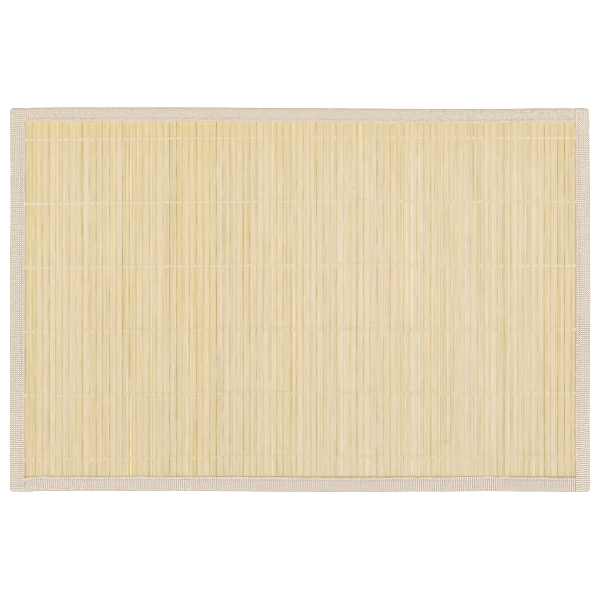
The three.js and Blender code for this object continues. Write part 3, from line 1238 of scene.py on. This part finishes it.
            # How much painted shade each needle hole gets.
            holes.append(hole * self.hole_show)
            share = ease(at, start, start + self.length)
            weave_shadings.append(self.weave_shadings[0] + (self.weave_shadings[1] - self.weave_shadings[0]) * share)
            # Painted highlight on the tape's inner lip.
            painted_lip = self.lip_highlight * (row in (0, 1, rows - 1, rows))
            # Painted shade on the fold's roll, used on the front tape.
            rolled = ease(self.section[row].inwards, 1.0, 0.3)
            tones.append(self.tone + painted_lip + self.painted_fold_shade * rolled)
            ages.append(self.age * (0.45 + 0.55 * ease(self.section[row].inwards, 4.5, 2.5)))
            side, up = normals[row]
            return self.on_mat(at, inwards - side * sunk, height - up * sunk)

        move_points(tape, fold)
        layer = mesh.uv_layers.active or mesh.uv_layers.new(name="UVMap")
        for loop in mesh.loops:
            layer.data[loop.index].uv = cloth_place[loop.vertex_index]
        mark_points(tape, "painted_hole_shade", holes)
        mark_points(tape, "painted_weave_shading", weave_shadings)
        mark_points(tape, "tape_tone_and_painted_light", tones)
        mark_points(tape, "tape_age", ages)
        top = max(mesh.polygons, key=lambda face: face.center.z)
        if top.normal.z < 0:
            with all_faces(tape):
                bpy.ops.mesh.flip_normals()
        apply_modifier(tape, "SOLIDIFY", thickness=self.cloth, offset=-1.0, use_even_offset=False)
        dress(tape, finish, 70)
        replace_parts(tape, f"tape_{self.name}")
        return (tape, self.length)[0]


@dataclass
class StitchLine:
    """The line of sewing stitches that holds one tape, on both faces of the mat."""

    tape: BindingTape
    length: float = 2.3 * MM
    thread: float = 0.36 * MM
    rise: float = 0.02 * MM
    sides: int = 6

    def run(self, name: str, row: int) -> bpy.types.Object:
        """Model the stitches on one face.

        Args:
            name: The piece's name.
            row: The row of the tape's section that they follow.

        Returns:
            The line of stitches.
        """
        tape = self.tape
        pitch = tape.stitch_pitch
        reach = tape.plan.half_depth - 2.5 * MM
        if not tape.edge.is_side:
            reach = tape.plan.half_length - tape.side_width - 0.8 * MM
        count = 2 * int(reach / pitch)
        first = -(count - 1) / 2 * pitch
        set_down()
        bpy.ops.mesh.primitive_cylinder_add(
            vertices=self.sides,
            radius=self.thread / 2,
            depth=self.length,
            location=(first, 0, 0),
            rotation=(0, math.pi / 2, 0),
        )
        piece = just_added(name)
        with chosen_edges(piece, lambda at, way: abs(way.x) > 0.9):
            bpy.ops.mesh.subdivide(number_cuts=5)
        per_stitch = repeat_along_x(piece, count, pitch)
        up = 1 if row == tape.stitch_rows[0] else -1

        def lay(index: int, place: Vector) -> Vector:
            number = index // per_stitch
            along = (place.x - first - number * pitch) / (self.length / 2)
            slim = 1 - 0.35 * along**4
            dip = 0.22 * MM * along**4
            inwards, height = tape.surface(place.x, row)
            sway = 0.1 * MM * wander(number * 1.3, row) + 0.08 * MM * along
            return tape.on_mat(
                place.x,
                inwards + place.y * slim + sway,
                max(0.02 * MM, height + up * (place.z * slim * up + self.rise - dip)),
            )

        move_points(piece, lay)
        return piece

    def build(self, finish: bpy.types.Material) -> bpy.types.Object:
        """Sew both faces and join them."""
        top_row, bottom_row = self.tape.stitch_rows
        name = f"stitching_{self.tape.name}"
        line = join_all([self.run(name, top_row), self.run(f"{name}_under", bottom_row)])
        with all_faces(line):
            bpy.ops.mesh.normals_make_consistent(inside=False)
        dress(line, finish, 60)
        return line


# The studio


@dataclass
class Studio:
    """A white floor, soft light from high in front, and a camera straight above the mat."""

    view_width: float = 465.2 * MM
    aim: tuple[float, float] = (-0.05 * MM, -0.19 * MM)
    focus_height: float = 3 * MM
    lens: float = 100.0
    sensor: float = 36.0
    sky: float = 0.89
    below: float = 0.34
    key_place: tuple[float, float, float] = (0.4, -5.3, 7.4)
    key_size: float = 4.5
    key_power: float = 510.0

    def lay_floor(self) -> None:
        """Lay the floor just under the mat."""
        set_down()
        bpy.ops.mesh.primitive_plane_add(size=6, location=(0, 0, -0.05 * MM))
        floor = just_added("studio_floor")
        floor.data.materials.append(FloorFinish().make())
        floor.visible_diffuse = False

    def light(self) -> None:
        """Light the mat with an even sky, darker below, and one large soft lamp."""
        world = bpy.data.worlds.new("studio_sky")
        bpy.context.scene.world = world
        world.use_nodes = True
        tree = world.node_tree
        background = tree.nodes["Background"]
        background.inputs["Color"].default_value = (1, 1, 1, 1)
        place = tree.nodes.new("ShaderNodeTexCoord")
        parts = tree.nodes.new("ShaderNodeSeparateXYZ")
        tree.links.new(place.outputs["Generated"], parts.inputs[0])
        level = tree.nodes.new("ShaderNodeMapRange")
        level.inputs["From Min"].default_value = -0.05
        level.inputs["From Max"].default_value = 0.05
        level.inputs["To Min"].default_value = self.below
        level.inputs["To Max"].default_value = self.sky
        tree.links.new(parts.outputs["Z"], level.inputs["Value"])
        tree.links.new(level.outputs[0], background.inputs["Strength"])
        bpy.ops.object.light_add(type="AREA", location=self.key_place)
        lamp = bpy.context.active_object
        lamp.name = "studio_key"
        lamp.data.size = self.key_size
        lamp.data.energy = self.key_power
        lamp.rotation_euler = Vector(self.key_place).to_track_quat("Z", "Y").to_euler()

    def place_camera(self) -> None:
        """Hold the camera over the mat at the distance that frames it."""
        distance = self.view_width * self.lens / self.sensor
        bpy.ops.object.camera_add(location=(*self.aim, self.focus_height + distance), rotation=(0, 0, 0))
        camera = bpy.context.active_object
        camera.name = "studio_camera"
        camera.data.lens = self.lens
        camera.data.sensor_width = self.sensor
        bpy.context.scene.camera = camera

    def build(self) -> None:
        """Set up the whole studio."""
        self.lay_floor()
        self.light()
        self.place_camera()
        bpy.context.scene.view_settings.view_transform = "Standard"
        bpy.context.scene.view_settings.look = "None"


FRONT_STRAY = (
    Stray(-222, 0.65),
    Stray(-210.5, 0.55),
    Stray(-206, -0.45),
    Stray(-203, -0.45),
    Stray(-75, -0.4),
    Stray(-38, -0.15),
    Stray(0, 0.1),
    Stray(60, 0.3),
    Stray(86, -0.15),
    Stray(116, -0.1),
    Stray(148, -0.4),
    Stray(168, -0.1),
    Stray(180, -0.1),
    Stray(220, 0.25),
)
BACK_STRAY = (
    Stray(-220, -0.25),
    Stray(-186, -0.2),
    Stray(-149, -0.8),
    Stray(-112, -0.75),
    Stray(-86, -0.6),
    Stray(-55, -0.4),
    Stray(-20, -0.15),
    Stray(0, 0.0),
    Stray(38, 0.25),
    Stray(69, 0.45),
    Stray(100, 0.6),
    Stray(185, 0.5),
    Stray(206, 0.3),
    Stray(220, -0.1),
)
LEFT_STRAY = (
    Stray(-149, 0.1),
    Stray(-108, -0.12),
    Stray(-80, -0.2),
    Stray(-57, -0.1),
    Stray(-33, 0.25),
    Stray(50, 0.15),
    Stray(103, 0.48),
    Stray(135, 0.4),
    Stray(149, 0.15),
)
RIGHT_STRAY = (
    Stray(-149, 0.15),
    Stray(-138, 0.25),
    Stray(-105, 0.02),
    Stray(-90, -0.1),
    Stray(-16, 0.5),
    Stray(11, 0.5),
    Stray(50, 0.4),
    Stray(96, 0.05),
    Stray(120, -0.15),
    Stray(130, -0.25),
    Stray(149, -0.35),
)
YARN_FADES = {
    "thread_row_1": (0.9, 1.0, 1.0),
    "thread_row_2": (0.6, 1.0, 0.5),
    "thread_row_3": (0.6, 0.95, 0.6),
    "thread_row_4": (0.4, 0.5, 0.15),
    "thread_row_5": (0.1, 0.45, 0.5),
    "thread_row_6": (0.25, 0.5, 0.2),
}


def tapes(plan: MatPlan) -> tuple[BindingTape, ...]:
    """Describe the four tapes as the photo shows them, the long ones first, as the side ones lap them."""
    return (
        BindingTape(
            plan,
            MatEdge.FRONT,
            11.6 * MM,
            FRONT_STRAY,
            weave_shadings=(0.74, 1.1),
            tone=0.497,
            age=0.2,
            lip_highlight=0.13,
            painted_fold_shade=-0.25,
            hole_show=0.6,
        ),
        BindingTape(
            plan,
            MatEdge.BACK,
            11.3 * MM,
            BACK_STRAY,
            weave_shadings=(0.4, 0.5),
            age=1.0,
            hole_show=0.02,
            lip_highlight=0.04,
        ),
        BindingTape(
            plan,
            MatEdge.LEFT,
            11.6 * MM,
            LEFT_STRAY,
            weave_shadings=(1.2, 1.3),
            tone=0.53,
            age=0.2,
            ends=(-0.18, 0.25),
        ),
        BindingTape(
            plan,
            MatEdge.RIGHT,
            11.3 * MM,
            RIGHT_STRAY,
            weave_shadings=(2.5, 2.4),
            tone=0.645,
            age=0.05,
            ends=(0.4, -0.3),
        ),
    )


def main() -> None:
    """Build the mat and the studio, and log each piece's number of faces."""
    logging.basicConfig(level=logging.INFO, format="%(name)s: %(message)s")
    plan = MatPlan.from_frame()
    SlatField(plan).build(BambooFinish().make())
    yarn = YarnFinish().make()
    for node, fade in YARN_FADES.items():
        YarnRow(plan, node, fade).build(yarn)
    woven, sewn = TapeFinish().make(), StitchFinish().make()
    for tape in tapes(plan):
        tape.build(woven)
        StitchLine(tape).build(sewn)
    Studio().build()


if __name__ == "__main__":
    main()
